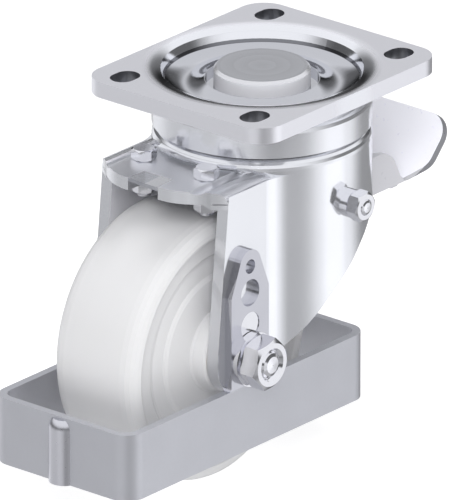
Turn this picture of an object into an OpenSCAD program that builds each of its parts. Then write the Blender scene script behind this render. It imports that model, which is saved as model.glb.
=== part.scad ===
// Swivel castor with a top plate, a foot brake and a foot guard.
// Millimetres. The origin is the centre of the plate's mounting face, +Z is up,
// the wheel trails towards -X, the pedal leads towards +X, the axle lies along Y.

/* [View] */
// One sub-part by name, or "all"

/* [Top plate] */
plate_length = 100;
plate_width = 85;
plate_thickness = 6;
plate_corner_r = 10;
// Hole spacing along X and Y
hole_pitch = [80, 60];
slot_width = 9;
slot_length = 11.8;
// Outer radius of the pressed ring and radius of the well round the kingpin head
press_r = 43;
well_r = 20.5;
well_depth = 6.8;
shoulder_roll = 21.6;
shoulder_drop = 1.05;
wall_r = [34.9, 36.4];
channel_depth = 4.7;
channel_roll = 14;
channel_dip = 1.9;

/* [Swivel bearing] */
kingpin_head_r = 17.35;
kingpin_r = 10;
running_gap = 0.05;
clear_gap = 0.35;
cover_r = 39.4;
cover_wall = 2.5;
cover_top = -9;
cover_bottom = -20.4;
upper_ball_r = 4;
upper_ball_ring_r = 29.5;
upper_ball_count = 16;
lower_ball_r = 2;
lower_ball_ring_r = 16;
lower_ball_count = 18;
bush_wall = 2.5;

/* [Fork] */
sheet = 4.8;
drum_top = -21;
crown_top = -24.8;
shoulder_r = 4.4;
fold_top = -25.5;
fold_r = 4.4;
valley_r = 3.6;
crown_blend_r = 3;
crown_blend_end = 41.47;
leg_end_r = 14.5;
leg_outer = 29.2;
leg_blend_r = 18;
crown_notch = [8.7, 13];

/* [Wheel] */
wheel_r = 50;
wheel_width = 37.6;
offset_x = 45;
axle_drop = 90;
hub_bore_r = 11;
tread_edge_r = 43.3;

/* [Axle] */
axle_r = 5;
sleeve_r = 8;
axle_nut_af = 17;
axle_nut_height = 8;
axle_washer_r = 10;
axle_washer_thickness = 2.2;

/* [Foot guard] */
guard_sheet = 3;
guard_height = 25.2;
guard_bottom = -125;
guard_trailing = 111.6;
guard_leading = 21.3;
guard_corner_r = 7.5;
arm_width = 20.6;
arm_thickness = 3;
arm_tip_r = 5.75;
arm_top = 41.3;
arm_taper_start = 25.3;
pin_hole_rise = 12.5;
upper_hole_rise = 25;
small_hole_rise = 35;
guard_hole_r = 5;
small_hole_r = 2.65;
seam_width = 10;

/* [Brake] */
pivot = [1, -42.7];
pivot_bolt_r = 3;
pivot_sleeve_r = 5;
pivot_nut_af = 10;
pivot_nut_height = 5;
pivot_washer_thickness = 2.3;
lever_half = 18.5;
lever_sheet = 3;
lever_bottom = -57.4;
lever_top = -43;
pedal_tilt = 57;
pedal_foot = [58.4, -57.6];
pedal_rise = 26.4;
pedal_half = 28.6;
cam_r = 8.2;
cam_throw = 5;
cam_angle = 283;
shoe_hinge = [-27, -35];
shoe_gap = 0.4;
shoe_sheet = 3;
shoe_lift = 3;
shoe_span = [36, 55, 74];
shoe_half = 13;
crown_screw_x = -48;
crown_screw_y = 14.5;
crown_screw_r = 2.5;
crown_screw_af = 8;
crown_nut_height = 5.4;
crown_head_height = 4.2;
bracket_sheet = 2;

/* [Colours] */
zinc = [0.80, 0.81, 0.84];
bright_zinc = [0.87, 0.88, 0.91];
nylon = [0.90, 0.90, 0.88];
bronze = [0.72, 0.58, 0.38];
ball_steel = [0.70, 0.71, 0.74];

/* [Quality] */
round_fn = 96;
small_fn = 32;

// Sizes that follow from the driving ones
leg_inner = leg_outer - sheet;
crown_bottom = crown_top - sheet;
drum_bottom = drum_top - sheet;
axle = [-offset_x, -axle_drop];
arm_outer = leg_outer + arm_thickness;
hub_half = leg_inner - 1.2;
upper_ball_z = drum_top + 3.4;
race_z = upper_ball_z + 3.6;
lower_ball_z = drum_bottom - clear_gap - lower_ball_r;
lower_race_top = lower_ball_z - 0.7;
lower_race_bottom = lower_race_top - 3.4;
kingpin_nut_height = 4.4;
kingpin_end = lower_race_bottom - kingpin_nut_height - 0.4;
pivot_face = cover_r + 0.6;

module along_y(x, z) {
    translate([x, 0, z]) rotate([90, 0, 0]) children();
}

// A bar of radius r about a Y axis, from y0 up to y1
module y_rod(x, z, r, y0, y1, fn = small_fn) {
    translate([x, y1, z]) rotate([90, 0, 0])
        cylinder(h = y1 - y0, r = r, $fn = fn);
}

// A side view drawn in X and Z, given thickness from y0 up to y1
module side_sheet(y0, y1) {
    translate([0, y1, 0]) rotate([90, 0, 0])
        linear_extrude(height = y1 - y0) children();
}

// A cross-section drawn in Y and Z, given length from x0 up to x1
module end_sheet(x0, x1) {
    translate([x0, 0, 0]) rotate([90, 0, 90])
        linear_extrude(height = x1 - x0) children();
}

// A hex prism with both ends chamfered, its axis along +Z
module hex_body(af, height) {
    corner_r = af / 2 / cos(30);
    face_r = af / 2 * 0.94;
    intersection() {
        cylinder(h = height, r = corner_r, $fn = 6);
        rotate_extrude($fn = 48)
            polygon([
                [0, 0], [face_r, 0], [corner_r, af * 0.07],
                [corner_r, height - af * 0.07], [face_r, height], [0, height]
            ]);
    }
}

// The rounded tip of a bolt of radius r, pointing along +Z
module bolt_tip(r) {
    rotate_extrude($fn = small_fn) polygon([
        [0, -0.4], [r, -0.4], [r, 0], [r * 0.86, r * 0.18],
        [r * 0.62, r * 0.28], [0, r * 0.34]
    ]);
}

// A rectangle with round corners, centred
module round_rect(length, width, r) {
    square([length, width - 2 * r], center = true);
    square([length - 2 * r, width], center = true);
    for (sx = [-1, 1], sy = [-1, 1])
        translate([sx * (length / 2 - r), sy * (width / 2 - r)])
            circle(r = r, $fn = 64);
}

module plate_outline() {
    round_rect(plate_length, plate_width, plate_corner_r);
}

// Slots along X, centred on the hole spacing
module plate_slots() {
    run = slot_length - slot_width;
    for (sx = [-1, 1], sy = [-1, 1])
        translate([sx * hole_pitch[0] / 2, sy * hole_pitch[1] / 2]) {
            square([run, slot_width], center = true);
            for (s = [-1, 1])
                translate([s * run / 2, 0])
                    circle(d = slot_width, $fn = 48);
        }
}

// Half section of the pressed centre of the plate, radius and height:
// a rolled shoulder, a steep wall, a shallow channel and the well
module pressed_section() {
    difference() {
        union() {
            difference() {
                polygon([
                    [kingpin_r, 0], [press_r + 1, 0],
                    [press_r + 1, -plate_thickness], [42.4, -6.1],
                    [40.6, -6.5], [39.2, -7.2], [38.2, -8.1],
                    [37.4, cover_top], [34.5, cover_top], [34.5, race_z],
                    [24.6, race_z], [24, -well_depth - plate_thickness],
                    [kingpin_r, -well_depth - plate_thickness]
                ]);
                // rolled shoulder
                difference() {
                    translate([wall_r[1], -shoulder_drop])
                        square([press_r - wall_r[1], shoulder_drop + 1]);
                    translate([press_r, -shoulder_roll])
                        circle(r = shoulder_roll, $fn = 256);
                }
                // steep wall down to the channel, and the well
                polygon([
                    [0, 1], [0, -well_depth], [well_r, -well_depth],
                    [well_r, -channel_depth], [wall_r[0], -channel_depth],
                    [wall_r[1], -shoulder_drop], [wall_r[1], 1]
                ]);
                // curved floor of the channel
                intersection() {
                    translate([(well_r + wall_r[0]) / 2,
                               channel_roll - channel_depth - channel_dip])
                        circle(r = channel_roll, $fn = 256);
                    translate([well_r - 1, -channel_depth - 2])
                        square([wall_r[0] - well_r + 1, 3]);
                }
            }
        }
        translate([upper_ball_ring_r, upper_ball_z])
            circle(r = upper_ball_r, $fn = small_fn);
    }
}

module top_plate() {
    color(zinc) difference() {
        union() {
            translate([0, 0, -plate_thickness])
                linear_extrude(height = plate_thickness) difference() {
                    plate_outline();
                    circle(r = press_r + 0.5, $fn = round_fn);
                }
            intersection() {
                rotate_extrude($fn = round_fn) pressed_section();
                translate([0, 0, -30]) linear_extrude(height = 40)
                    plate_outline();
            }
        }
        translate([0, 0, -plate_thickness - 1])
            linear_extrude(height = plate_thickness + 2) plate_slots();
    }
}

module race_cover() {
    r = cover_r;
    color(bright_zinc) rotate_extrude($fn = round_fn) polygon([
        [34.5, cover_top], [36.8, cover_top], [38.0, cover_top - 0.5],
        [38.9, cover_top - 1.4], [r, cover_top - 2.6], [r, cover_bottom],
        [r - cover_wall, cover_bottom], [r - cover_wall, cover_top - 3.4],
        [35.9, cover_top - 2.6], [34.5, cover_top - 2.6]
    ]);
}

module kingpin() {
    color(zinc) rotate_extrude($fn = 64) polygon([
        [0, 0], [kingpin_head_r - 1.1, 0], [kingpin_head_r, -1.1],
        [kingpin_head_r, -well_depth], [kingpin_r, -well_depth],
        [kingpin_r, lower_race_top], [8, lower_race_top],
        [8, kingpin_end + 0.8], [7.2, kingpin_end], [0, kingpin_end]
    ]);
}

module lower_race() {
    color(zinc) rotate_extrude($fn = 64) difference() {
        polygon([
            [8, lower_race_top], [20, lower_race_top],
            [21, lower_race_top - 0.8], [21, lower_race_bottom + 0.8],
            [20, lower_race_bottom], [8, lower_race_bottom]
        ]);
        translate([lower_ball_ring_r, lower_ball_z])
            circle(r = lower_ball_r, $fn = small_fn);
    }
}

module kingpin_nut() {
    color(zinc) translate([0, 0, lower_race_bottom - kingpin_nut_height])
        difference() {
            hex_body(24, kingpin_nut_height);
            translate([0, 0, -1])
                cylinder(h = kingpin_nut_height + 2, r = 8, $fn = 64);
        }
}

module ball_ring(count, ring_r, ball_r, z, fn) {
    for (i = [0 : count - 1])
        rotate(i * 360 / count) translate([ring_r, 0, z])
            sphere(r = ball_r, $fn = fn);
}

module upper_balls() {
    color(ball_steel)
        ball_ring(upper_ball_count, upper_ball_ring_r, upper_ball_r,
                  upper_ball_z, 14);
}

module lower_balls() {
    color(ball_steel)
        ball_ring(lower_ball_count, lower_ball_ring_r, lower_ball_r,
                  lower_ball_z, 14);
}

// Outline of the fork seen from above: round barrel running into flat legs.
// inset moves the whole outline inwards, as for the inside of the sheet
module fork_plan(inset) {
    half = leg_outer - inset;
    blend_y = leg_outer + leg_blend_r;
    blend_x = -sqrt(pow(cover_r + leg_blend_r, 2) - pow(blend_y, 2));
    circle(r = cover_r - inset, $fn = round_fn);
    translate([-80 - inset, -half]) square([80 + inset, 2 * half]);
    for (s = [-1, 1])
        difference() {
            polygon([[0, 0], [blend_x, 0], [blend_x, s * blend_y]]);
            translate([blend_x, s * blend_y])
                circle(r = leg_blend_r + inset, $fn = round_fn);
        }
}

// Side view of barrel and legs in X and Z
module fork_side() {
    difference() {
        union() {
            polygon([
                [-53.2, drum_top + 1], [-53.2, -27.5], [-59.45, -88.5],
                axle, [axle[0] + 9.9, axle[1] - 10.6], [-24.3, -91.6],
                [-17.4, -85.3], [-12.7, -80.5], [-9.2, -76.8], [-3.4, -71.4],
                [2.9, -66], [8.3, -61], [16.4, -55], [25, -50.8],
                [33, -47.6], [42, -44.8], [42, drum_top + 1]
            ]);
            translate(axle) circle(r = leg_end_r, $fn = 64);
        }
        translate(axle) circle(r = axle_r, $fn = small_fn);
        translate([axle[0], axle[1] + pin_hole_rise])
            circle(r = guard_hole_r, $fn = small_fn);
        translate(pivot) circle(r = pivot_bolt_r, $fn = small_fn);
    }
}

// Points of a smooth curve from a to c that leans towards b
function curve(a, b, c) =
    [for (t = [0 : 0.0625 : 1])
        (1 - t) * (1 - t) * a + 2 * t * (1 - t) * b + t * t * c];

// Half plan of the crown behind the drum, with its arrow-shaped end and notch
module crown_half() {
    tip = crown_notch[1] / 2;
    edge = -65.7;
    polygon(concat(
        [[-20, 0], [edge + crown_notch[0], 0], [edge + crown_notch[0], tip]],
        curve([edge, tip + 0.4], [-66.2, 15.6], [-57.4, 24.4]),
        curve([-56.6, 25.3], [-54.2, 28], [-53.6, leg_outer]),
        [[-20, leg_outer]]
    ));
}

// One side of the crown: flat sheet, a valley, then the fold into the leg
module crown_side() {
    fold_y = leg_outer - fold_r;
    intersection() {
        difference() {
            union() {
                end_sheet(-70, -24) polygon([
                    [-0.01, crown_top], [fold_y - 2, crown_top],
                    [fold_y, fold_top], [fold_y, fold_top - fold_r],
                    [leg_outer, fold_top - fold_r],
                    [leg_outer, crown_bottom - 2.2],
                    [leg_inner, crown_bottom - 2.2],
                    [leg_inner - 2.2, crown_bottom], [-0.01, crown_bottom]
                ]);
                intersection() {
                    translate([-70, fold_y, fold_top - fold_r])
                        rotate([0, 90, 0])
                            cylinder(h = 46, r = fold_r, $fn = 64);
                    translate([-71, 0, crown_bottom])
                        cube([48, leg_outer + 1, sheet + 1]);
                }
                // concave blend up to the drum
                intersection() {
                    rotate_extrude($fn = round_fn) difference() {
                        translate([36, crown_top - 0.5])
                            square([crown_blend_end - 36, 2.04]);
                        translate([crown_blend_end, crown_top + crown_blend_r])
                            circle(r = crown_blend_r, $fn = 64);
                    }
                    translate([-60, -0.01, crown_bottom])
                        cube([40, fold_y - valley_r, sheet + 4]);
                }
            }
            translate([-71, fold_y - valley_r - 0.4, crown_top + valley_r - 1.1])
                rotate([0, 90, 0]) cylinder(h = 48, r = valley_r, $fn = 64);
        }
        translate([0, 0, -36]) linear_extrude(height = 20) crown_half();
    }
}

module fork() {
    color(bright_zinc) difference() {
        union() {
            // barrel wall and legs
            intersection() {
                translate([0, 0, -110])
                    linear_extrude(height = 110 + drum_top - shoulder_r - 1.6)
                    difference() {
                        fork_plan(0);
                        fork_plan(sheet);
                    }
                side_sheet(-45, 45) fork_side();
            }
            // drum that carries the races
            rotate_extrude($fn = round_fn) polygon(concat(
                [[kingpin_r + bush_wall, drum_top]],
                [for (a = [90 : -15 : 0])
                    [cover_r - shoulder_r + shoulder_r * cos(a),
                     drum_top - shoulder_r + shoulder_r * sin(a)]],
                [[cover_r, crown_bottom], [cover_r - sheet, crown_bottom],
                 [cover_r - sheet, drum_bottom - 1.2],
                 [cover_r - sheet - 1.2, drum_bottom],
                 [kingpin_r + bush_wall, drum_bottom]]
            ));
            // crown behind the drum and its folds into the legs
            difference() {
                for (m = [0, 1]) mirror([0, m, 0]) crown_side();
                translate([0, 0, -60])
                    cylinder(h = 60, r = cover_r - 1, $fn = round_fn);
            }
        }
        // groove for the upper balls
        rotate_extrude($fn = round_fn)
            translate([upper_ball_ring_r, upper_ball_z])
                circle(r = upper_ball_r + clear_gap, $fn = small_fn);
        // window for the pedal lever
        translate([20, -lever_half - 2.5, -70])
            cube([30, 2 * lever_half + 5, 70 + lever_top + 2.5]);
        // crown screw holes
        for (s = [-1, 1])
            translate([crown_screw_x, s * crown_screw_y, crown_bottom - 1])
                cylinder(h = sheet + 2, r = crown_screw_r, $fn = small_fn);
    }
}

module swivel_bush() {
    color(bronze) rotate_extrude($fn = 64) polygon([
        [kingpin_r + running_gap, drum_top + 0.6],
        [kingpin_r + bush_wall + 2, drum_top + 0.6],
        [kingpin_r + bush_wall + 2, drum_top],
        [kingpin_r + bush_wall, drum_top],
        [kingpin_r + bush_wall, drum_bottom],
        [kingpin_r + running_gap, drum_bottom]
    ]);
}

module crown_screws() {
    shank_end = crown_bottom - bracket_sheet - crown_nut_height - 1.4;
    color(bright_zinc) for (s = [-1, 1])
        translate([crown_screw_x, s * crown_screw_y, 0]) {
            translate([0, 0, crown_top]) rotate(15)
                hex_body(crown_screw_af, crown_head_height);
            translate([0, 0, shank_end])
                cylinder(h = crown_top - shank_end + 0.2, r = crown_screw_r,
                         $fn = small_fn);
        }
}

module crown_nuts() {
    color(bright_zinc) for (s = [-1, 1])
        translate([crown_screw_x, s * crown_screw_y,
                   crown_bottom - bracket_sheet - crown_nut_height])
            difference() {
                rotate(15) hex_body(crown_screw_af, crown_nut_height);
                translate([0, 0, -1])
                    cylinder(h = crown_nut_height + 2, r = crown_screw_r,
                             $fn = small_fn);
            }
}

module guard_outline(inset) {
    translate([(guard_leading - guard_trailing) / 2, 0])
        round_rect(guard_trailing + guard_leading - 2 * inset,
                   2 * (leg_outer + guard_sheet - inset),
                   guard_corner_r - inset);
}

module guard_frame() {
    color(zinc) translate([0, 0, guard_bottom])
        linear_extrude(height = guard_height) difference() {
            guard_outline(0);
            guard_outline(guard_sheet);
        }
}

module guard_seam() {
    h = guard_height - 1;
    color(zinc) intersection() {
        union() {
            translate([-guard_trailing + 2.6, 0, guard_bottom])
                cylinder(h = h - 4, r = 5.6, $fn = 48);
            translate([-guard_trailing + 2.6, 0, guard_bottom + h - 4])
                sphere(r = 5.6, $fn = 48);
        }
        translate([-guard_trailing - 10, -seam_width / 2, guard_bottom])
            cube([10, seam_width, h]);
    }
}

// Arm on the +Y side; the other one is its mirror image.
// It is the guard's own sheet carried up outside the leg
module guard_arm() {
    foot = guard_bottom + guard_height;
    fillet = 1.5;
    difference() {
        side_sheet(leg_outer, arm_outer) union() {
            hull() {
                translate([axle[0], axle[1] + arm_top - arm_tip_r])
                    circle(r = arm_tip_r, $fn = small_fn);
                translate([axle[0] - arm_width / 2, foot])
                    square([arm_width, -axle_drop + arm_taper_start - foot]);
            }
            for (s = [-1, 1])
                translate([axle[0] + s * arm_width / 2, foot]) difference() {
                    translate([min(0, s * fillet), 0]) square(fillet);
                    translate([s * fillet, fillet])
                        circle(r = fillet, $fn = 24);
                }
        }
        y_rod(axle[0], axle[1], axle_r, leg_outer - 1, arm_outer + 1);
        y_rod(axle[0], axle[1] + pin_hole_rise, guard_hole_r,
              leg_outer - 1, arm_outer + 1);
        y_rod(axle[0], axle[1] + upper_hole_rise, guard_hole_r,
              leg_outer - 1, arm_outer + 1);
        y_rod(axle[0], axle[1] + small_hole_rise, small_hole_r,
              leg_outer - 1, arm_outer + 1, 24);
    }
}

module guard_arm_far() {
    color(zinc) guard_arm();
}

module guard_arm_near() {
    color(zinc) mirror([0, 1, 0]) guard_arm();
}

module locating_pins() {
    color(bright_zinc) for (s = [-1, 1])
        scale([1, s, 1])
            y_rod(axle[0], axle[1] + pin_hole_rise, guard_hole_r,
                  leg_inner + 0.4, arm_outer - 0.3);
}

module axle_bolt() {
    head = arm_outer + axle_washer_thickness;
    color(bright_zinc) union() {
        y_rod(axle[0], axle[1], axle_r, -head - axle_nut_height + 1.2, head + 1);
        translate([axle[0], -head - axle_nut_height + 1.2, axle[1]])
            rotate([90, 0, 0]) bolt_tip(axle_r);
        translate([axle[0], head, axle[1]]) rotate([-90, 0, 0])
            hex_body(axle_nut_af, 6.4);
    }
}

module axle_nut() {
    face = arm_outer + axle_washer_thickness;
    color(bright_zinc) difference() {
        translate([axle[0], -face, axle[1]]) rotate([90, 0, 0])
            rotate(12) hex_body(axle_nut_af, axle_nut_height);
        y_rod(axle[0], axle[1], axle_r, -face - 20, -face + 1);
        translate([axle[0], -face - axle_nut_height + 1.2, axle[1]])
            rotate([90, 0, 0])
                cylinder(h = 1.3, r1 = axle_r, r2 = axle_r + 1.2, $fn = small_fn);
    }
}

module axle_washers() {
    color(bright_zinc) for (s = [-1, 1])
        scale([1, s, 1]) difference() {
            y_rod(axle[0], axle[1], axle_washer_r, arm_outer,
                  arm_outer + axle_washer_thickness, 48);
            y_rod(axle[0], axle[1], axle_r, 30, 60);
        }
}

module axle_sleeve() {
    color(zinc) difference() {
        y_rod(axle[0], axle[1], sleeve_r, -leg_inner, leg_inner, 64);
        y_rod(axle[0], axle[1], axle_r, -30, 30);
    }
}

// Half section of the wheel: radius, then distance from the middle
wheel_half = [
    [hub_bore_r, hub_half], [13.6, hub_half], [14.4, hub_half - 0.8],
    [15.2, 18.2], [16, 17.4], [26.8, 16.6], [27.8, 16.1], [28.4, 15.5],
    [33.6, 15.1], [35, 15.3], [36, 16], [41.6, 16.4], [42.2, 16.8],
    [42.8, 18.1], [tread_edge_r, 18.5], [44.2, wheel_width / 2],
    [45.6, 18.6], [47, 17.9], [48.2, 16.8], [49, 15.2],
    [49.45, 13], [49.75, 9], [49.93, 5], [wheel_r, 0]
];

module wheel() {
    color(nylon) along_y(axle[0], axle[1]) rotate_extrude($fn = 128)
        polygon(concat(
            wheel_half,
            [for (i = [len(wheel_half) - 2 : -1 : 0])
                [wheel_half[i][0], -wheel_half[i][1]]]
        ));
}

module wheel_bush() {
    translate([axle[0], 0, axle[1]]) rotate([-90, 0, 0])
        rotate_extrude($fn = 64) polygon([
            [sleeve_r + running_gap, 5], [hub_bore_r, 5],
            [hub_bore_r, hub_half], [13, hub_half],
            [13, hub_half + 0.8], [sleeve_r + running_gap, hub_half + 0.8]
        ]);
}

module wheel_bush_far() {
    color(bronze) wheel_bush();
}

module wheel_bush_near() {
    color(bronze) mirror([0, 1, 0]) wheel_bush();
}

module pivot_bolt() {
    head = pivot_face + pivot_washer_thickness;
    color(bright_zinc) union() {
        y_rod(pivot[0], pivot[1], pivot_bolt_r, -head - pivot_nut_height + 0.2,
              head + 1);
        translate([pivot[0], -head - pivot_nut_height + 0.2, pivot[1]])
            rotate([90, 0, 0]) bolt_tip(pivot_bolt_r);
        translate([pivot[0], head, pivot[1]]) rotate([-90, 0, 0])
            hex_body(pivot_nut_af, 4);
    }
}

module pivot_sleeve() {
    inner = sqrt(pow(cover_r - sheet, 2)
                 - pow(pivot[0] + pivot_sleeve_r, 2)) - 0.05;
    color(zinc) difference() {
        y_rod(pivot[0], pivot[1], pivot_sleeve_r, -inner, inner, 48);
        y_rod(pivot[0], pivot[1], pivot_bolt_r, -60, 60);
    }
}

// Washers shaped on one face to sit on the round barrel
module pivot_washers() {
    color(bright_zinc) for (s = [-1, 1])
        scale([1, s, 1]) difference() {
            y_rod(pivot[0], pivot[1], 5.2, cover_r - 3,
                  pivot_face + pivot_washer_thickness);
            y_rod(pivot[0], pivot[1], pivot_bolt_r, 0, 60);
            translate([0, 0, -60]) cylinder(h = 60, r = cover_r, $fn = round_fn);
        }
}

module pivot_nut() {
    face = pivot_face + pivot_washer_thickness;
    color(bright_zinc) difference() {
        translate([pivot[0], -face, pivot[1]]) rotate([90, 0, 0])
            rotate(8) hex_body(pivot_nut_af, pivot_nut_height);
        y_rod(pivot[0], pivot[1], pivot_bolt_r, -70, 0);
    }
}

// Side view of one lever flange, in X and Z
module lever_flange() {
    difference() {
        union() {
            translate(pivot) circle(r = 8, $fn = 48);
            polygon([
                [pivot[0] - 2, pivot[1] + 7.7], [12, lever_top + 2],
                [24, lever_top], [44, lever_top], [48, lever_top - 1],
                [51.2, lever_top - 3.6], [53.4, lever_top - 7.4],
                [55.2, lever_top - 11.4], [58.2, lever_bottom],
                [24, lever_bottom], [6, pivot[1] - 9], [pivot[0] - 5, pivot[1] - 6]
            ]);
        }
        translate(pivot) circle(r = pivot_sleeve_r + running_gap, $fn = 48);
    }
}

// Foot plate drawn flat: its own X runs up the slope, its own Y is across
module foot_plate() {
    offset(r = 8, $fn = 48) offset(delta = -8) polygon([
        [-12, -14.5], [-1.5, -14.5], [1, -18.4], [7.9, -26.2],
        [pedal_rise, -pedal_half], [pedal_rise, pedal_half], [7.9, 26.2],
        [1, 18.4], [-1.5, 14.5], [-12, 14.5]
    ]);
}

module brake_pedal() {
    cam = [pivot[0] + cam_throw * cos(cam_angle),
           pivot[1] + cam_throw * sin(cam_angle)];
    color(bright_zinc) union() {
        for (s = [-1, 1])
            scale([1, s, 1])
                side_sheet(lever_half - lever_sheet, lever_half) lever_flange();
        // floor of the lever
        translate([24, -lever_half + 4, lever_bottom - lever_sheet + 0.8])
            cube([33.2, 2 * lever_half - 8, lever_sheet]);
        for (s = [-1, 1])
            scale([1, s, 1])
                translate([24, lever_half - 4.5, lever_bottom - 0.4])
                    cube([33.2, 3, 1.2]);
        // foot plate
        intersection() {
            translate([pedal_foot[0], 0, pedal_foot[1]])
                rotate([0, -pedal_tilt, 0]) translate([0, 0, -lever_sheet / 2])
                    linear_extrude(height = lever_sheet) foot_plate();
            translate([0, -50, lever_bottom - lever_sheet]) cube([120, 100, 60]);
        }
        // cam block between the flanges
        difference() {
            y_rod(cam[0], cam[1], cam_r, -lever_half + 1, lever_half - 1, 64);
            y_rod(pivot[0], pivot[1], pivot_sleeve_r + running_gap, -40, 40, 48);
            for (s = [-1, 1])
                scale([1, s, 1])
                    translate([-20, lever_half, -60]) cube([40, 10, 40]);
        }
    }
}

module shoe_bracket() {
    color(zinc) difference() {
        union() {
            translate([-56, -20, crown_bottom - bracket_sheet])
                cube([26, 40, bracket_sheet]);
            for (s = [-1, 1])
                scale([1, s, 1])
                    side_sheet(shoe_half + 1, shoe_half + 3.5) hull() {
                        translate([-36, crown_bottom - 1]) square([9, 1]);
                        translate(shoe_hinge) circle(r = 3.4, $fn = 24);
                    }
        }
        for (s = [-1, 1])
            translate([crown_screw_x, s * crown_screw_y, -40])
                cylinder(h = 20, r = crown_screw_r, $fn = small_fn);
        y_rod(shoe_hinge[0], shoe_hinge[1], 2, -30, 30, small_fn);
    }
}

module shoe_pin() {
    color(bright_zinc)
        y_rod(shoe_hinge[0], shoe_hinge[1], 2, -shoe_half - 4.2,
              shoe_half + 4.2, small_fn);
}

// Curved shoe over the tread, drawn where it brakes, then lifted off
module brake_shoe() {
    inner_r = wheel_r + shoe_gap;
    color(zinc) translate([shoe_hinge[0], 0, shoe_hinge[1]])
        rotate([0, -shoe_lift, 0])
            translate([-shoe_hinge[0], 0, -shoe_hinge[1]]) difference() {
                side_sheet(-shoe_half, shoe_half) union() {
                    intersection() {
                        translate(axle) difference() {
                            circle(r = inner_r + shoe_sheet, $fn = round_fn);
                            circle(r = inner_r, $fn = round_fn);
                        }
                        translate(axle) polygon(concat(
                            [[0, 0]],
                            [for (a = shoe_span) 70 * [cos(a), sin(a)]]
                        ));
                    }
                    hull() {
                        translate(shoe_hinge) circle(r = 3, $fn = small_fn);
                        translate(axle) rotate(shoe_span[2] - 6)
                            translate([inner_r + 0.2, -1]) square([2.6, 3]);
                    }
                }
                y_rod(shoe_hinge[0], shoe_hinge[1], 2 + running_gap, -30, 30,
                      small_fn);
            }
}

top_plate();
race_cover();
kingpin();
lower_race();
kingpin_nut();
upper_balls();
lower_balls();
fork();
swivel_bush();
crown_screws();
crown_nuts();
guard_frame();
guard_seam();
guard_arm_near();
guard_arm_far();
locating_pins();
axle_bolt();
axle_sleeve();
axle_washers();
axle_nut();
wheel();
wheel_bush_near();
wheel_bush_far();
pivot_bolt();
pivot_sleeve();
pivot_washers();
pivot_nut();
brake_pedal();
shoe_bracket();
shoe_pin();
brake_shoe();
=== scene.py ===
# %% [markdown]
# # A swivel castor with a brake and a foot guard
# A castor like this one is pressed, turned and moulded from a few simple
# materials: zinc plated steel sheet, turned steel, cast nylon and a little
# bronze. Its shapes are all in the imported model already, so this lesson is
# about finishes: what each one is, how it was made, and what that does to
# light. The steel is nearly a mirror, so the studio round it matters as much as
# the metal's own colour, and it gets cells of its own.

import math

import bpy
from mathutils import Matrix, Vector


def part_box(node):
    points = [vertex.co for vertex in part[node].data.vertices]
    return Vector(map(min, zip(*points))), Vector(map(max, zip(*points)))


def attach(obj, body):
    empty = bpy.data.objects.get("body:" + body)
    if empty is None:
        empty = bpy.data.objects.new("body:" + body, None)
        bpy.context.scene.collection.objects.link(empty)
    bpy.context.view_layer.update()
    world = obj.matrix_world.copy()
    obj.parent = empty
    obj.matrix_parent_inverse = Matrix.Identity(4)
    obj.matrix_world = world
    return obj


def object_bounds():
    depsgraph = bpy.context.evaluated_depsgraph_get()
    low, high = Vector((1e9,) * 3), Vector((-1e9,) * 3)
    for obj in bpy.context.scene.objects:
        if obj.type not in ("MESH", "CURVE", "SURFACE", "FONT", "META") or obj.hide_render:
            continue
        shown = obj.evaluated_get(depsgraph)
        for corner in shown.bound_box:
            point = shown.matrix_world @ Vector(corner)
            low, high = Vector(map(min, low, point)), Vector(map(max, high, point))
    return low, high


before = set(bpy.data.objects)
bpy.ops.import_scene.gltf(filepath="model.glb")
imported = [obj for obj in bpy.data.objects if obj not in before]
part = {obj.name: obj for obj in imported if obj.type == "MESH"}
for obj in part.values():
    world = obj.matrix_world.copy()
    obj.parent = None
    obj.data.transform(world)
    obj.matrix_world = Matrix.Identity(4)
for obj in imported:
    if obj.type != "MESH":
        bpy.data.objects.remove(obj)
cad_box = [list(corner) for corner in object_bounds()]
print("pieces:", len(part), "box in mm:",
      [[round(v * 1000, 1) for v in corner] for corner in cad_box])

# %% [markdown]
# Lengths are easier to check against the real castor in millimetres, and
# Blender works in metres, so one number turns one into the other. Colours are
# written as the hex values that a paint program shows, and one function turns
# them into the linear light values that the shader wants. A second one gives
# the same colour with a share of its light, for the mottling of a surface.

# %% Units and colours
MM = 0.001


def linear(hex_value):
    channels = [int(hex_value[i:i + 2], 16) / 255 for i in (1, 3, 5)]
    return tuple(
        c / 12.92 if c <= 0.04045 else ((c + 0.055) / 1.055) ** 2.4
        for c in channels
    ) + (1.0,)


def shaded(hex_value, share):
    return tuple(c * share for c in linear(hex_value)[:3]) + (1.0,)


print("mid grey is", [round(c, 3) for c in linear("#808080")])

# %% [markdown]
# Every material here is a small graph of nodes. One function adds a node,
# fills in its settings and inputs, and joins it to the nodes before it. An
# input may be a plain value or the output socket of another node. It goes by
# its name, or by in_ and its number where several inputs share one name.

# %% A function that adds one node
def add(tree, kind, settings=None, **inputs):
    made = tree.nodes.new(kind)
    for name, value in (settings or {}).items():
        setattr(made, name, value)
    for name, value in inputs.items():
        numbered = name.startswith("in_")
        key = int(name[3:]) if numbered else name.replace("_", " ")
        socket = made.inputs[key]
        if isinstance(value, bpy.types.NodeSocket):
            tree.links.new(value, socket)
        else:
            socket.default_value = value
    return made


def new_material(name):
    material = bpy.data.materials.new(name)
    material.use_nodes = True
    tree = material.node_tree
    tree.nodes.clear()
    shader = add(tree, "ShaderNodeBsdfPrincipled")
    add(tree, "ShaderNodeOutputMaterial", Surface=shader.outputs["BSDF"])
    where = add(tree, "ShaderNodeTexCoord").outputs
    return material, tree, shader, where


print("a material starts with a shader, an output and its coordinates")

# %% [markdown]
# A few kinds of node come back in every finish: arithmetic, a soft step from
# one value to another, a mix of two colours, noise of a certain size, and one
# axis of a vector. The castor is round about its own upright axis, so the
# distance from that axis is worth a function too.

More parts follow.
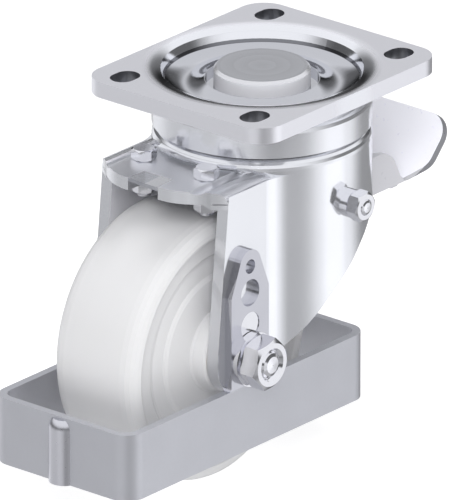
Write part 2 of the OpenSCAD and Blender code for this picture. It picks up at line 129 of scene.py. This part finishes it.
# %% Short names for the common nodes
def calc(tree, operation, *values):
    inputs = {f"in_{slot}": value for slot, value in enumerate(values)}
    return add(tree, "ShaderNodeMath", {"operation": operation},
               **inputs).outputs["Value"]


def ramp(tree, value, start, stop, low=0.0, high=1.0):
    return add(tree, "ShaderNodeMapRange", Value=value, in_1=start, in_2=stop,
               in_3=low, in_4=high).outputs["Result"]


def blend(tree, share, first, second):
    return add(tree, "ShaderNodeMix", {"data_type": "RGBA"}, in_0=share,
               in_6=first, in_7=second).outputs[2]


def noise(tree, place, size_mm, detail, roughness=0.5):
    return add(tree, "ShaderNodeTexNoise", Vector=place,
               Scale=1 / (size_mm * MM), Detail=detail,
               Roughness=roughness).outputs["Fac"]


def axis(tree, vector, name):
    return add(tree, "ShaderNodeSeparateXYZ", Vector=vector).outputs[name]


def from_axis(tree, place):
    flat = add(tree, "ShaderNodeVectorMath", {"operation": "MULTIPLY"},
               in_0=place, in_1=(1, 1, 0)).outputs["Vector"]
    return add(tree, "ShaderNodeVectorMath", {"operation": "LENGTH"},
               in_0=flat).outputs["Value"]


print("six short names are ready")

# %% [markdown]
# Zinc plated sheet that has been deep drawn, like the fork and the cup over
# the balls, comes out of the die burnished: bright, slightly blue, and close
# to a mirror. Two things keep it from being a perfect one. The sheet keeps a
# long, shallow waviness from the rolling, and the tool leaves fine drawing
# marks. A bump of a few hundredths of a millimetre is enough, since a mirror
# doubles every change of slope. Both could be painted as pictures, but noise in
# the shader needs no unwrapping and never repeats.
#
# The same metal doesn't look the same all over. A face that looks back along
# the castor gets a painted tone: a painted shade where the tone is below one,
# and a painted light where it is above. A top face that lies beyond the drum
# was never pressed against the die, so it stays rougher. The direction that a
# face looks in and its distance from the upright axis pick these places out.

# %% Bright drawn zinc
LONG_BUMP, SHORT_BUMP = 1.0 * MM, 0.2 * MM
WAVE_SHADE = 0.93
LOOKS_BACK = (0.75, 0.9)
LOOKS_UP = (0.25, 0.5)
DRUM_EDGE = (40 * MM, 42 * MM)
SPECK_RANGE = (0.3, 0.75)
LEAST_ROUGH = 0.02


def zinc_plated(name, colour, roughness, wave_mm, wave_depth, speck_mm,
                speck_depth, cloud=0.03, metal=1.0, painted_back_tone=1.0, top_dull=0.0):
    material, tree, shader, where = new_material(name)
    wave = noise(tree, where["Object"], wave_mm, detail=1.0, roughness=0.4)
    speck = noise(tree, where["Object"], speck_mm, detail=4.0, roughness=0.6)
    long_bump = add(tree, "ShaderNodeBump", Height=wave, Strength=wave_depth,
                    Distance=LONG_BUMP)
    short_bump = add(tree, "ShaderNodeBump", Height=speck,
                     Strength=speck_depth, Distance=SHORT_BUMP,
                     Normal=long_bump.outputs["Normal"])
    tone = blend(tree, wave, shaded(colour, WAVE_SHADE), linear(colour))
    # faces that look back get their colour scaled: painted shade below one, painted light
    # above one
    backwards = calc(tree, "MULTIPLY", axis(tree, where["Normal"], "X"), -1.0)
    painted_back_share = ramp(tree, backwards, *LOOKS_BACK, 1.0, painted_back_tone)
    tone = add(tree, "ShaderNodeVectorMath", {"operation": "SCALE"},
               in_0=tone, Scale=painted_back_share).outputs["Vector"]
    dull = ramp(tree, speck, *SPECK_RANGE, max(roughness - cloud, LEAST_ROUGH),
                roughness + cloud)
    past_drum = ramp(tree, from_axis(tree, where["Object"]), *DRUM_EDGE)
    flat_top = ramp(tree, axis(tree, where["Normal"], "Z"), *LOOKS_UP, 0.0,
                    top_dull)
    dull = calc(tree, "MULTIPLY_ADD", past_drum, flat_top, dull)
    tree.links.new(tone, shader.inputs["Base Color"])
    tree.links.new(dull, shader.inputs["Roughness"])
    tree.links.new(short_bump.outputs["Normal"], shader.inputs["Normal"])
    shader.inputs["Metallic"].default_value = metal
    return material


drawn = {"wave_mm": 22, "wave_depth": 0.02, "speck_mm": 3.0,
         "speck_depth": 0.01}
# the fork's faces that look back are painted darker, a painted shade
fork_zinc = zinc_plated("drawn_zinc_fork", "#F6F7FB", roughness=0.13, **drawn,
                        metal=0.9, painted_back_tone=0.78, top_dull=0.2)
cover_zinc = zinc_plated("drawn_zinc_cover", "#F0F1F5", roughness=0.16, **drawn,
                         metal=0.82)
print("made", fork_zinc.name, cover_zinc.name)

# %% [markdown]
# Only the outside of the fork rubbed along the die. The inner faces of its legs
# keep the mill's satin and take on the white of the wheel beside them. Such a
# face looks towards the castor's middle plane, so its place and its direction
# across the castor have opposite signs, and their product is well below
# nought. These faces could have a material slot of their own, but a test of
# signs in the shader needs no faces picked by hand.

# %% A satin inside for the fork
def satin_inside(material, colour, metal, roughness, least_mm):
    tree = material.node_tree
    shader = tree.nodes["Principled BSDF"]
    where = tree.nodes["Texture Coordinate"].outputs
    outward = add(tree, "ShaderNodeVectorMath", {"operation": "MULTIPLY"},
                  in_0=where["Object"], in_1=where["Normal"]).outputs["Vector"]
    inside = calc(tree, "LESS_THAN", axis(tree, outward, "Y"), -least_mm * MM)
    tone = blend(tree, inside,
                 shader.inputs["Base Color"].links[0].from_socket,
                 linear(colour))
    rough = add(tree, "ShaderNodeMix", in_0=inside,
                in_2=shader.inputs["Roughness"].links[0].from_socket,
                in_3=roughness)
    plated = add(tree, "ShaderNodeMix", in_0=inside,
                 in_2=shader.inputs["Metallic"].default_value, in_3=metal)
    tree.links.new(tone, shader.inputs["Base Color"])
    tree.links.new(rough.outputs[0], shader.inputs["Roughness"])
    tree.links.new(plated.outputs[0], shader.inputs["Metallic"])


satin_inside(fork_zinc, "#EDEDF2", metal=0.2, roughness=0.5, least_mm=10)
print("the fork is satin inside")

# %% [markdown]
# The foot guard is bent from flat strip and plated without polishing. The
# plating is the same zinc, but the surface under it is the matt one of the
# rolling mill, so it spreads a reflection until only its average is left and
# the metal reads as a plain mid grey. The two arms were polished before they
# were plated, and their faces that look back are painted darker, a painted
# shade. The half-round seam was rolled over a bar, which leaves it between the
# two. All three come from the same function as the fork, with other numbers.

# %% Zinc on the guard, its arms and its seam
strip = {"wave_mm": 14, "wave_depth": 0.02, "speck_mm": 1.2}
guard_zinc = zinc_plated("satin_zinc_strip", "#CCCDD3", roughness=0.42, **strip,
                         speck_depth=0.05, cloud=0.05, metal=0.75)
# the arms' faces that look back are painted darker, a painted shade
arm_zinc = zinc_plated("bright_zinc_arm", "#D4D4DB", roughness=0.16, **strip,
                       speck_depth=0.02, painted_back_tone=0.8)
seam_zinc = zinc_plated("bright_zinc_seam", "#E4E4EA", roughness=0.30, **strip,
                        speck_depth=0.03)
print("made", guard_zinc.name, arm_zinc.name, seam_zinc.name)

# %% [markdown]
# Nuts and bolt heads are cold headed and barrel plated. They tumble against
# each other in the bath, so they are bright with a fine, even peening. Pieces
# that nobody sees get the cheapest plating, which is dull. The pedal's zinc has
# a thick passivated layer, which scatters light more than it mirrors it. Its
# faces that look back are painted pale, a painted light for the light that the
# top plate keeps off them.

# %% Zinc on fasteners, inner pieces and the pedal
fastener_zinc = zinc_plated("barrel_plated_zinc", "#F6F6FA", roughness=0.12,
                            wave_mm=4, wave_depth=0.01, speck_mm=0.8,
                            speck_depth=0.01)
inner_zinc = zinc_plated("plain_zinc", "#C9CAD0", roughness=0.38, wave_mm=10,
                         wave_depth=0.02, speck_mm=1.0, speck_depth=0.05,
                         cloud=0.05)
# the pedal's faces that look back are painted 2.4 times lighter, a painted light
pedal_zinc = zinc_plated("bright_zinc_pedal", "#C4C4C9", roughness=0.3,
                         wave_mm=24, wave_depth=0.0, speck_mm=2.0,
                         speck_depth=0.0, metal=0.05, painted_back_tone=2.4)
print("made", fastener_zinc.name, inner_zinc.name, pedal_zinc.name)

# %% [markdown]
# The pedal's foot plate is painted darker on its cut rim and its other face, a
# painted shade, so only the face towards the castor stays bright. These are the
# faces that lie beyond the lever and don't look back.

# %% Painted shade on the foot plate's rim and underside
def painted_rim_shade(material, beyond_mm, bright_facing, rim_colour):
    tree = material.node_tree
    shader = tree.nodes["Principled BSDF"]
    where = tree.nodes["Texture Coordinate"].outputs
    is_rim = calc(tree, "GREATER_THAN", axis(tree, where["Normal"], "X"),
                  -bright_facing)
    is_foot = calc(tree, "GREATER_THAN", axis(tree, where["Object"], "X"),
                   beyond_mm * MM)
    # the rim and the other face of the foot plate get a painted shade
    tone = blend(tree, calc(tree, "MULTIPLY", is_rim, is_foot),
                 shader.inputs["Base Color"].links[0].from_socket,
                 linear(rim_colour))
    tree.links.new(tone, shader.inputs["Base Color"])


# the foot plate's rim and underside are painted darker, a painted shade
painted_rim_shade(pedal_zinc, beyond_mm=61, bright_facing=0.78, rim_colour="#7C7D82")
print("the foot plate has a dull rim")

# %% [markdown]
# The walls of the four slots in the top plate are painted darker, a painted
# shade for the inside of the holes. They are the upright faces that lie within
# the plate's outer edge and outside its pressed ring, and picking them out by
# place and direction leaves the imported mesh as it is.

# %% The walls of the slots
WITHIN_EDGE = (47.5 * MM, 36 * MM)
PAST_RING = 0.5
UPRIGHT = 0.5


# a mask of the slot walls, which get a painted shade
def slot_walls(tree, where, radius, ring_mm):
    level = calc(tree, "ABSOLUTE", axis(tree, where["Normal"], "Z"))
    is_wall = calc(tree, "LESS_THAN", level, UPRIGHT)
    quarter = add(tree, "ShaderNodeVectorMath", {"operation": "ABSOLUTE"},
                  in_0=where["Object"]).outputs["Vector"]
    within = [calc(tree, "LESS_THAN", axis(tree, quarter, name), limit)
              for name, limit in zip("XY", WITHIN_EDGE)]
    outside = calc(tree, "GREATER_THAN", radius, (ring_mm + PAST_RING) * MM)
    zone = calc(tree, "MULTIPLY", calc(tree, "MULTIPLY", *within), outside)
    return calc(tree, "MULTIPLY", zone, is_wall)


print("slot walls lie within", [round(v / MM, 1) for v in WITHIN_EDGE], "mm")

# %% [markdown]
# The top plate is one sheet with several finishes. Its flat rim keeps the satin
# of the mill, while the ring round the middle was stretched over a polished
# punch, which burnishes it. The shallow bowl inside the ring is painted greyer,
# a painted shade for the dark that it reflects, and the corner at its foot gets
# a thin ring of painted shade. Each border is a circle, so the distance from the
# castor's own upright axis tells the shader which finish a point has.

# %% The plate, satin rim and burnished ring
RING_FADE = 0.8
BOWL_FADE = 0.3
CORNER_HALF = 0.35
JUST_BELOW = (-0.05 * MM, -0.3 * MM)
RIM_TO_RING_ROUGH = (0.28, 0.08)
RIM_TO_RING_METAL = (0.9, 1.0)
GRAIN_MM, GRAIN_DEPTH, GRAIN_BUMP = 1.5, 0.05, 0.1 * MM


def ringed_plate(name, rim_colour, ring_colour, bowl_shade_colour, painted_shade_colour,
                 ring_mm, bowl_mm):
    material, tree, shader, where = new_material(name)
    radius = from_axis(tree, where["Object"])
    inside = ramp(tree, radius, (ring_mm + RING_FADE) * MM,
                  (ring_mm - RING_FADE) * MM)
    below = ramp(tree, axis(tree, where["Object"], "Z"), *JUST_BELOW)
    ring = calc(tree, "MULTIPLY", inside, below)
    in_bowl = ramp(tree, radius, (bowl_mm + BOWL_FADE) * MM,
                   (bowl_mm - BOWL_FADE) * MM)
    # a thin ring of painted shade in the corner at the bowl's foot, and the bowl painted
    # greyer
    corner_shade = calc(tree, "COMPARE", radius, bowl_mm * MM, CORNER_HALF * MM)
    pressed = blend(tree, in_bowl, linear(ring_colour), linear(bowl_shade_colour))
    pressed = blend(tree, corner_shade, pressed, linear(painted_shade_colour))
    tone = blend(tree, ring, linear(rim_colour), pressed)
    # the slot walls get the same painted shade
    tone = blend(tree, slot_walls(tree, where, radius, ring_mm), tone,
                 linear(painted_shade_colour))
    rough = ramp(tree, ring, 0.0, 1.0, *RIM_TO_RING_ROUGH)
    metal = ramp(tree, ring, 0.0, 1.0, *RIM_TO_RING_METAL)
    grain = noise(tree, where["Object"], GRAIN_MM, detail=4.0)
    bump = add(tree, "ShaderNodeBump", Height=grain, Strength=GRAIN_DEPTH,
               Distance=GRAIN_BUMP)
    tree.links.new(tone, shader.inputs["Base Color"])
    tree.links.new(rough, shader.inputs["Roughness"])
    tree.links.new(metal, shader.inputs["Metallic"])
    tree.links.new(bump.outputs["Normal"], shader.inputs["Normal"])
    return material


plate_zinc = ringed_plate("pressed_zinc_plate", rim_colour="#EEEEF3",
                          ring_colour="#F6F7FB", bowl_shade_colour="#CACBD0",
                          painted_shade_colour="#85868B", ring_mm=43, bowl_mm=35)
print("made", plate_zinc.name)

# %% [markdown]
# The kingpin's head was faced on a lathe. The tool leaves fine rings round the
# centre of its top, while its side is painted bright and less metallic than the
# top, a painted reflection. The way a surface faces tells the shader which of the
# two it is. The rings are a wave in the shader, which costs no faces. The bronze
# bushes and the balls are turned or ground all over, so both of their tones are
# the same.

# %% Turned steel
FACED = (0.5, 0.9)
RINGS_PER_SCALE = 20
RING_SHADE, RING_DEPTH, RING_BUMP = 0.94, 0.03, 0.05 * MM


def turned_steel(name, colour, roughness, ring_mm, side_colour,
                 side_metal=1.0):
    material, tree, shader, where = new_material(name)
    rings = add(tree, "ShaderNodeTexWave",
                {"wave_type": "RINGS", "rings_direction": "Z",
                 "wave_profile": "SAW"},
                Vector=where["Object"],
                Scale=1 / (ring_mm * MM * RINGS_PER_SCALE), Distortion=0.2,
                Detail=1.0).outputs["Fac"]
    turned = blend(tree, rings, shaded(colour, RING_SHADE), linear(colour))
    on_top = ramp(tree, axis(tree, where["Normal"], "Z"), *FACED)
    # the side takes its own colour, on the kingpin a bright painted reflection
    tone = blend(tree, on_top, linear(side_colour), turned)
    metal = ramp(tree, on_top, 0.0, 1.0, side_metal, 1.0)
    bump = add(tree, "ShaderNodeBump", Height=rings, Strength=RING_DEPTH,
               Distance=RING_BUMP)
    tree.links.new(tone, shader.inputs["Base Color"])
    tree.links.new(bump.outputs["Normal"], shader.inputs["Normal"])
    tree.links.new(metal, shader.inputs["Metallic"])
    shader.inputs["Roughness"].default_value = roughness
    return material


pin_steel = turned_steel("turned_steel_pin", "#C8C9CD", roughness=0.24,
                         ring_mm=0.8, side_colour="#F7F7FA", side_metal=0.3)
bush_bronze = turned_steel("turned_bronze_bush", "#D8B98A", roughness=0.3,
                           ring_mm=0.6, side_colour="#D8B98A")
ball_steel = turned_steel("polished_ball_steel", "#D8DADF", roughness=0.08,
                          ring_mm=0.6, side_colour="#D8DADF")
print("made", pin_steel.name, bush_bronze.name, ball_steel.name)

# %% [markdown]
# The wheel is cast nylon in its natural white, then turned. Nylon lets a
# little light in and scatters it back out, which softens its shadows, and the
# turning leaves a smooth surface with a wide, weak shine.

# %% Cast nylon
CLOUD_MM, CLOUD_SHADE = 18, 0.97
TURNED_MM, TURNED_DEPTH, TURNED_BUMP = 0.9, 0.06, 0.1 * MM
NYLON_IOR = 1.53
LIGHT_LET_IN, LIGHT_REACH = 0.15, 2 * MM


def cast_nylon(name, colour, roughness):
    material, tree, shader, where = new_material(name)
    cloud = noise(tree, where["Object"], CLOUD_MM, detail=2.0)
    grain = noise(tree, where["Object"], TURNED_MM, detail=3.0)
    tone = blend(tree, cloud, shaded(colour, CLOUD_SHADE), linear(colour))
    bump = add(tree, "ShaderNodeBump", Height=grain, Strength=TURNED_DEPTH,
               Distance=TURNED_BUMP)
    tree.links.new(tone, shader.inputs["Base Color"])
    tree.links.new(bump.outputs["Normal"], shader.inputs["Normal"])
    shader.inputs["Roughness"].default_value = roughness
    shader.inputs["IOR"].default_value = NYLON_IOR
    shader.inputs["Subsurface Weight"].default_value = LIGHT_LET_IN
    shader.inputs["Subsurface Radius"].default_value = (1.0, 1.0, 0.9)
    shader.inputs["Subsurface Scale"].default_value = LIGHT_REACH
    return material


wheel_nylon = cast_nylon("cast_white_nylon", "#DCDCDD", roughness=0.34)
print("made", wheel_nylon.name)

# %% [markdown]
# Each piece of the model gets the finish that the real one has. The table goes
# by finish, so it reads like the sheet that goes with the parts to the plater.

# %% Give every piece its finish
pieces_of = [
    (plate_zinc, "top_plate"),
    (cover_zinc, "race_cover"),
    (fork_zinc, "fork"),
    (pin_steel, "kingpin"),
    (ball_steel, "upper_balls lower_balls"),
    (bush_bronze, "swivel_bush wheel_bush_near wheel_bush_far"),
    (guard_zinc, "guard_frame"),
    (seam_zinc, "guard_seam"),
    (arm_zinc, "guard_arm_near guard_arm_far"),
    (pedal_zinc, "brake_pedal"),
    (wheel_nylon, "wheel"),
    (fastener_zinc, "crown_screws crown_nuts locating_pins axle_bolt "
                    "axle_washers axle_nut pivot_bolt pivot_washers pivot_nut"),
    (inner_zinc, "lower_race kingpin_nut axle_sleeve pivot_sleeve "
                 "shoe_bracket shoe_pin brake_shoe"),
]
finish_of = {name: finish for finish, names in pieces_of
             for name in names.split()}
for name, piece in part.items():
    for slot in piece.material_slots:
        slot.material = finish_of[name]
print("finished", len(finish_of), "pieces")

# %% [markdown]
# The two screws in the crown stick out below their nuts, and a short length of
# thread shows there. A thread is a small profile that follows a spiral, the
# same on each screw, so a tree of geometry nodes makes both from four sizes.
# The sizes in the tree are only its own defaults, in millimetres. The tree ends
# by turning its copies into real faces with the screws' finish.

# %% A tree that winds threads
STEPS_PER_TURN, PROFILE_SIDES = 40, 6
RIDGE_SHARE = 0.4


def thread_tree(material):
    tree = bpy.data.node_groups.new("wind_threads", "GeometryNodeTree")
    sockets = {}
    for name, value in (("Radius", 2.5), ("Pitch", 0.8), ("Length", 1.2),
                        ("Spacing", 29.0)):
        sockets[name] = tree.interface.new_socket(
            name, in_out="INPUT", socket_type="NodeSocketFloat")
        sockets[name].default_value = value * MM
    tree.interface.new_socket("Geometry", in_out="OUTPUT",
                              socket_type="NodeSocketGeometry")
    size = add(tree, "NodeGroupInput").outputs
    turns = calc(tree, "DIVIDE", size["Length"], size["Pitch"])
    spiral = add(tree, "GeometryNodeCurveSpiral", Resolution=STEPS_PER_TURN,
                 Rotations=turns, Start_Radius=size["Radius"],
                 End_Radius=size["Radius"], Height=size["Length"])
    ridge = calc(tree, "MULTIPLY", size["Pitch"], RIDGE_SHARE)
    profile = add(tree, "GeometryNodeCurvePrimitiveCircle",
                  Resolution=PROFILE_SIDES, Radius=ridge)
    thread = add(tree, "GeometryNodeCurveToMesh",
                 Curve=spiral.outputs["Curve"],
                 Profile_Curve=profile.outputs["Curve"], Fill_Caps=True)
    apart = add(tree, "ShaderNodeCombineXYZ", Y=size["Spacing"])
    places = add(tree, "GeometryNodeMeshLine", Count=2,
                 Offset=apart.outputs["Vector"])
    copies = add(tree, "GeometryNodeInstanceOnPoints",
                 Points=places.outputs["Mesh"], Instance=thread.outputs["Mesh"])
    real = add(tree, "GeometryNodeRealizeInstances",
               Geometry=copies.outputs["Instances"])
    done = add(tree, "GeometryNodeSetMaterial",
               Geometry=real.outputs["Geometry"], Material=material)
    add(tree, "NodeGroupOutput", Geometry=done.outputs["Geometry"])
    return tree, {name: socket.identifier for name, socket in sockets.items()}


winding, size_key = thread_tree(fastener_zinc)
print("the tree takes", ", ".join(size_key))

# %% [markdown]
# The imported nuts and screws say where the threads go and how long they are, so
# nothing is placed by eye. The tree runs on an empty mesh, its result becomes a
# plain mesh of its own, and that mesh then rides along with the fork.

# %% Threads below the crown's nuts
THREAD_R = 2.45 * MM
PITCH = 0.8 * MM
AT_TIP = 0.1 * MM
SPARE = 0.3 * MM
nut_low, nut_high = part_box("crown_nuts")
screw_low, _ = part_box("crown_screws")
across = nut_high[0] - nut_low[0]
sizes = {"Radius": THREAD_R, "Pitch": PITCH,
         "Length": nut_low[2] - screw_low[2] - SPARE,
         "Spacing": nut_high[1] - nut_low[1] - across}
source = bpy.data.objects.new("thread_source", bpy.data.meshes.new("source"))
bpy.context.scene.collection.objects.link(source)
winder = source.modifiers.new("wind", "NODES")
winder.node_group = winding
for name, value in sizes.items():
    winder[size_key[name]] = value
bpy.context.view_layer.update()
wound = bpy.data.meshes.new_from_object(
    source.evaluated_get(bpy.context.evaluated_depsgraph_get()))
bpy.data.objects.remove(source)
first = Vector(((nut_low[0] + nut_high[0]) / 2, nut_low[1] + across / 2,
                screw_low[2] + AT_TIP))
for vertex in wound.vertices:
    vertex.co += first
threads = bpy.data.objects.new("crown_screw_threads", wound)
bpy.context.scene.collection.objects.link(threads)
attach(threads, "fork")
print("threads have", len(wound.polygons), "faces")

# %% [markdown]
# The picture was taken with a very long lens, so parallel edges of the plate
# stay parallel. A long lens far away does the same here, and it is turned
# 50 degrees round the castor and 22 degrees above it. The height of the picture
# at the castor sets how far away the camera stands.

# %% The camera
turn, rise = math.radians(-50), math.radians(22)
towards = Vector((math.sin(turn) * math.cos(rise),
                  -math.cos(turn) * math.cos(rise), math.sin(rise)))
middle = Vector((-27.5, -5.6, -61.0)) * MM
tall = 177.8 * MM
lens, sensor = 1200, 36
distance = tall * lens / sensor
camera = bpy.data.objects.new("camera", bpy.data.cameras.new("camera"))
bpy.context.scene.collection.objects.link(camera)
camera.data.lens = lens
camera.data.sensor_width = sensor
camera.data.clip_end = 100
camera.location = middle + towards * distance
camera.rotation_mode = "QUATERNION"
camera.rotation_quaternion = (-towards).to_track_quat("-Z", "Y")
bpy.context.scene.camera = camera
print("camera stands", round(distance, 2), "m away")

# %% [markdown]
# A bright metal shows its surroundings, so the studio is drawn as a sphere of
# soft light that only reflections see. It is pale all round, with a dark band
# just above the horizon, a ground half as bright, and round patches that stand
# for grey cloths and lamp screens. Each patch is there for certain faces of the
# castor: the way that they mirror the camera's line of sight gives the patch's
# direction. Real cards would do the same, but drawn ones don't get in each
# other's way or in the picture.

# %% The sphere of light and what shapes it
world = bpy.data.worlds.new("studio")
bpy.context.scene.world = world
world.use_nodes = True
sky = world.node_tree
sky.nodes.clear()
look = add(sky, "ShaderNodeVectorMath", {"operation": "NORMALIZE"},
           in_0=add(sky, "ShaderNodeTexCoord").outputs["Generated"]
           ).outputs["Vector"]
height = axis(sky, look, "Z")


def soft(value, start, stop, low, high):
    return add(sky, "ShaderNodeMapRange",
               {"interpolation_type": "SMOOTHSTEP"}, Value=value, in_1=start,
               in_2=stop, in_3=low, in_4=high).outputs["Result"]


def patch(direction, start, full, left_over):
    """The share of light that a round patch in one direction leaves."""
    centre = tuple(Vector(direction).normalized())
    facing = add(sky, "ShaderNodeVectorMath", {"operation": "DOT_PRODUCT"},
                 in_0=look, in_1=centre).outputs["Value"]
    return soft(facing, start, full, 1.0, left_over)


print("the sphere is made of soft steps")

# %% [markdown]
# A patch starts where the cosine of the angle to its middle passes the first
# number and is full where it passes the second. The third number is the share
# of the light that is left, so a number above one is a lamp screen. The band
# and the ground go by height, which is -1 straight down and 1 straight up.

# %% Cloths, screens, horizon and ground
patches = [
    # low on the near side, for the upright faces that look at the camera
    ((-0.39, -0.84, -0.37), 0.79, 1.00, 0.43),
    ((-0.77, -0.52, -0.37), 0.82, 0.98, 0.74),
    # low on the pedal's side, for the right edge of the drum
    ((0.90, 0.24, -0.37), 0.66, 0.93, 0.28),
    # low on the near side, a screen for the faces that look to that side
    ((0.49, -0.79, -0.37), 0.957, 0.995, 1.22),
    # behind the castor, a screen between two cloths for the plate's ring
    ((0.71, 0.60, 0.37), 0.965, 0.995, 1.12),
    ((0.88, 0.39, 0.26), 0.948, 0.99, 0.18),
    ((0.54, 0.80, 0.26), 0.948, 0.99, 0.18),
    # low behind the guard, for every end that looks back
    ((-0.71, 0.60, -0.37), 0.60, 0.95, 0.68),
]
FULL_LIGHT = 0.93
BAND_TOP, BAND_FOOT, BAND_LEFT = (0.20, 0.36), (0.04, -0.12), 0.14
GROUND_EDGE, GROUND_LEFT = (-0.46, -0.62), 0.5
seen = FULL_LIGHT
for settings in patches:
    seen = calc(sky, "MULTIPLY", patch(*settings), seen)
above = soft(height, *BAND_TOP, BAND_LEFT, 1.0)
below = soft(height, *BAND_FOOT, 0.0, 1.0)
horizon = calc(sky, "MAXIMUM", above, below)
ground = soft(height, *GROUND_EDGE, 1.0, GROUND_LEFT)
seen = calc(sky, "MULTIPLY", calc(sky, "MULTIPLY", seen, horizon), ground)
print("the studio has", len(patches), "patches")

# %% [markdown]
# Only a reflection sees the sphere. Dull surfaces are lit by an even, weaker
# white, and the camera itself sees a plain white background. The kind of ray
# that asks decides which of the three it gets.

# %% What each kind of ray sees
ROOM_STRENGTH = 0.57
paths = add(sky, "ShaderNodeLightPath")
mirror_light = add(sky, "ShaderNodeBackground", Color=linear("#FBFCFF"),
                   Strength=seen)
room_light = add(sky, "ShaderNodeBackground", Color=linear("#FDFDFF"),
                 Strength=ROOM_STRENGTH)
white = add(sky, "ShaderNodeBackground", Color=(1, 1, 1, 1), Strength=1.0)
lit = add(sky, "ShaderNodeMixShader", in_0=paths.outputs["Is Glossy Ray"],
          in_1=room_light.outputs["Background"],
          in_2=mirror_light.outputs["Background"])
final = add(sky, "ShaderNodeMixShader", in_0=paths.outputs["Is Camera Ray"],
            in_1=lit.outputs["Shader"], in_2=white.outputs["Background"])
add(sky, "ShaderNodeOutputWorld", Surface=final.outputs["Shader"])
print("the studio has", len(sky.nodes), "nodes")

# %% [markdown]
# The floor is a plain pale sheet that keeps the castor's soft shadow. Most of
# what the camera sees of it is its own even white, so that the shadow stays
# light, and a reflection looks through it to the studio.

# %% The floor
def pale_floor(paper_grey, own_white):
    material = bpy.data.materials.new("pale_floor")
    material.use_nodes = True
    tree = material.node_tree
    tree.nodes.clear()
    rays = add(tree, "ShaderNodeLightPath")
    paper = add(tree, "ShaderNodeBsdfDiffuse", Color=(paper_grey,) * 3 + (1,))
    even = add(tree, "ShaderNodeEmission", Color=(1, 1, 1, 1),
               Strength=own_white)
    sheet = add(tree, "ShaderNodeAddShader", in_0=paper.outputs["BSDF"],
                in_1=even.outputs["Emission"])
    gone = add(tree, "ShaderNodeBsdfTransparent")
    mixed = add(tree, "ShaderNodeMixShader", in_0=rays.outputs["Is Glossy Ray"],
                in_1=sheet.outputs["Shader"], in_2=gone.outputs["BSDF"])
    add(tree, "ShaderNodeOutputMaterial", Surface=mixed.outputs["Shader"])
    return material


FLOOR_GAP = 0.2 * MM
floor_z = cad_box[0][2] - FLOOR_GAP
reach = 3.0
floor_mesh = bpy.data.meshes.new("floor")
floor_mesh.from_pydata([(-reach, -reach, floor_z), (reach, -reach, floor_z),
                        (reach, reach, floor_z), (-reach, reach, floor_z)],
                       [], [(0, 1, 2, 3)])
floor = bpy.data.objects.new("floor", floor_mesh)
floor.data.materials.append(pale_floor(paper_grey=0.5, own_white=0.74))
bpy.context.scene.collection.objects.link(floor)
print("floor at", round(floor_z / MM, 1), "mm")

# %% [markdown]
# Five square lamp screens light what is dull, and the numbers are the place,
# the side in metres and the power in watts. A large weak one stands high on
# the side of the tread, and one low on the near side opens the shadows. The
# strong one in front and the one on the camera's own line model the white
# wheel, and a small one hangs over the pedal, which the top plate would leave
# in the dark. Reflections don't see the lamps, so the metal keeps the studio
# that was drawn for it.

# %% The lamps
def lamp_screen(name, place, size, power):
    data = bpy.data.lights.new(name, "AREA")
    data.shape, data.size, data.energy = "SQUARE", size, power
    lamp = bpy.data.objects.new(name, data)
    lamp.location = place
    lamp.rotation_mode = "QUATERNION"
    lamp.rotation_quaternion = (middle - lamp.location).to_track_quat("-Z", "Y")
    bpy.context.scene.collection.objects.link(lamp)
    lamp.visible_glossy = False
    return lamp


lamps = [
    lamp_screen("key_lamp", Vector((-1.0, -0.35, 1.1)), 0.9, 0.7),
    lamp_screen("fill_lamp", Vector((0.2, -1.3, 0.2)), 0.6, 1.0),
    lamp_screen("front_lamp", Vector((-0.9, -0.7, 0.95)), 0.5, 5.8),
    lamp_screen("eye_lamp", towards * 1.4, 0.4, 3.7),
    lamp_screen("pedal_lamp", Vector((0.15, -0.02, 0.5)), 0.2, 1.35),
]
print("lamps:", ", ".join(lamp.name for lamp in lamps))

# %% [markdown]
# A film look would turn the white background grey, so the picture keeps the
# tones as the shaders give them.

# %% Leave the tones alone and finish
bpy.context.scene.view_settings.view_transform = "Standard"
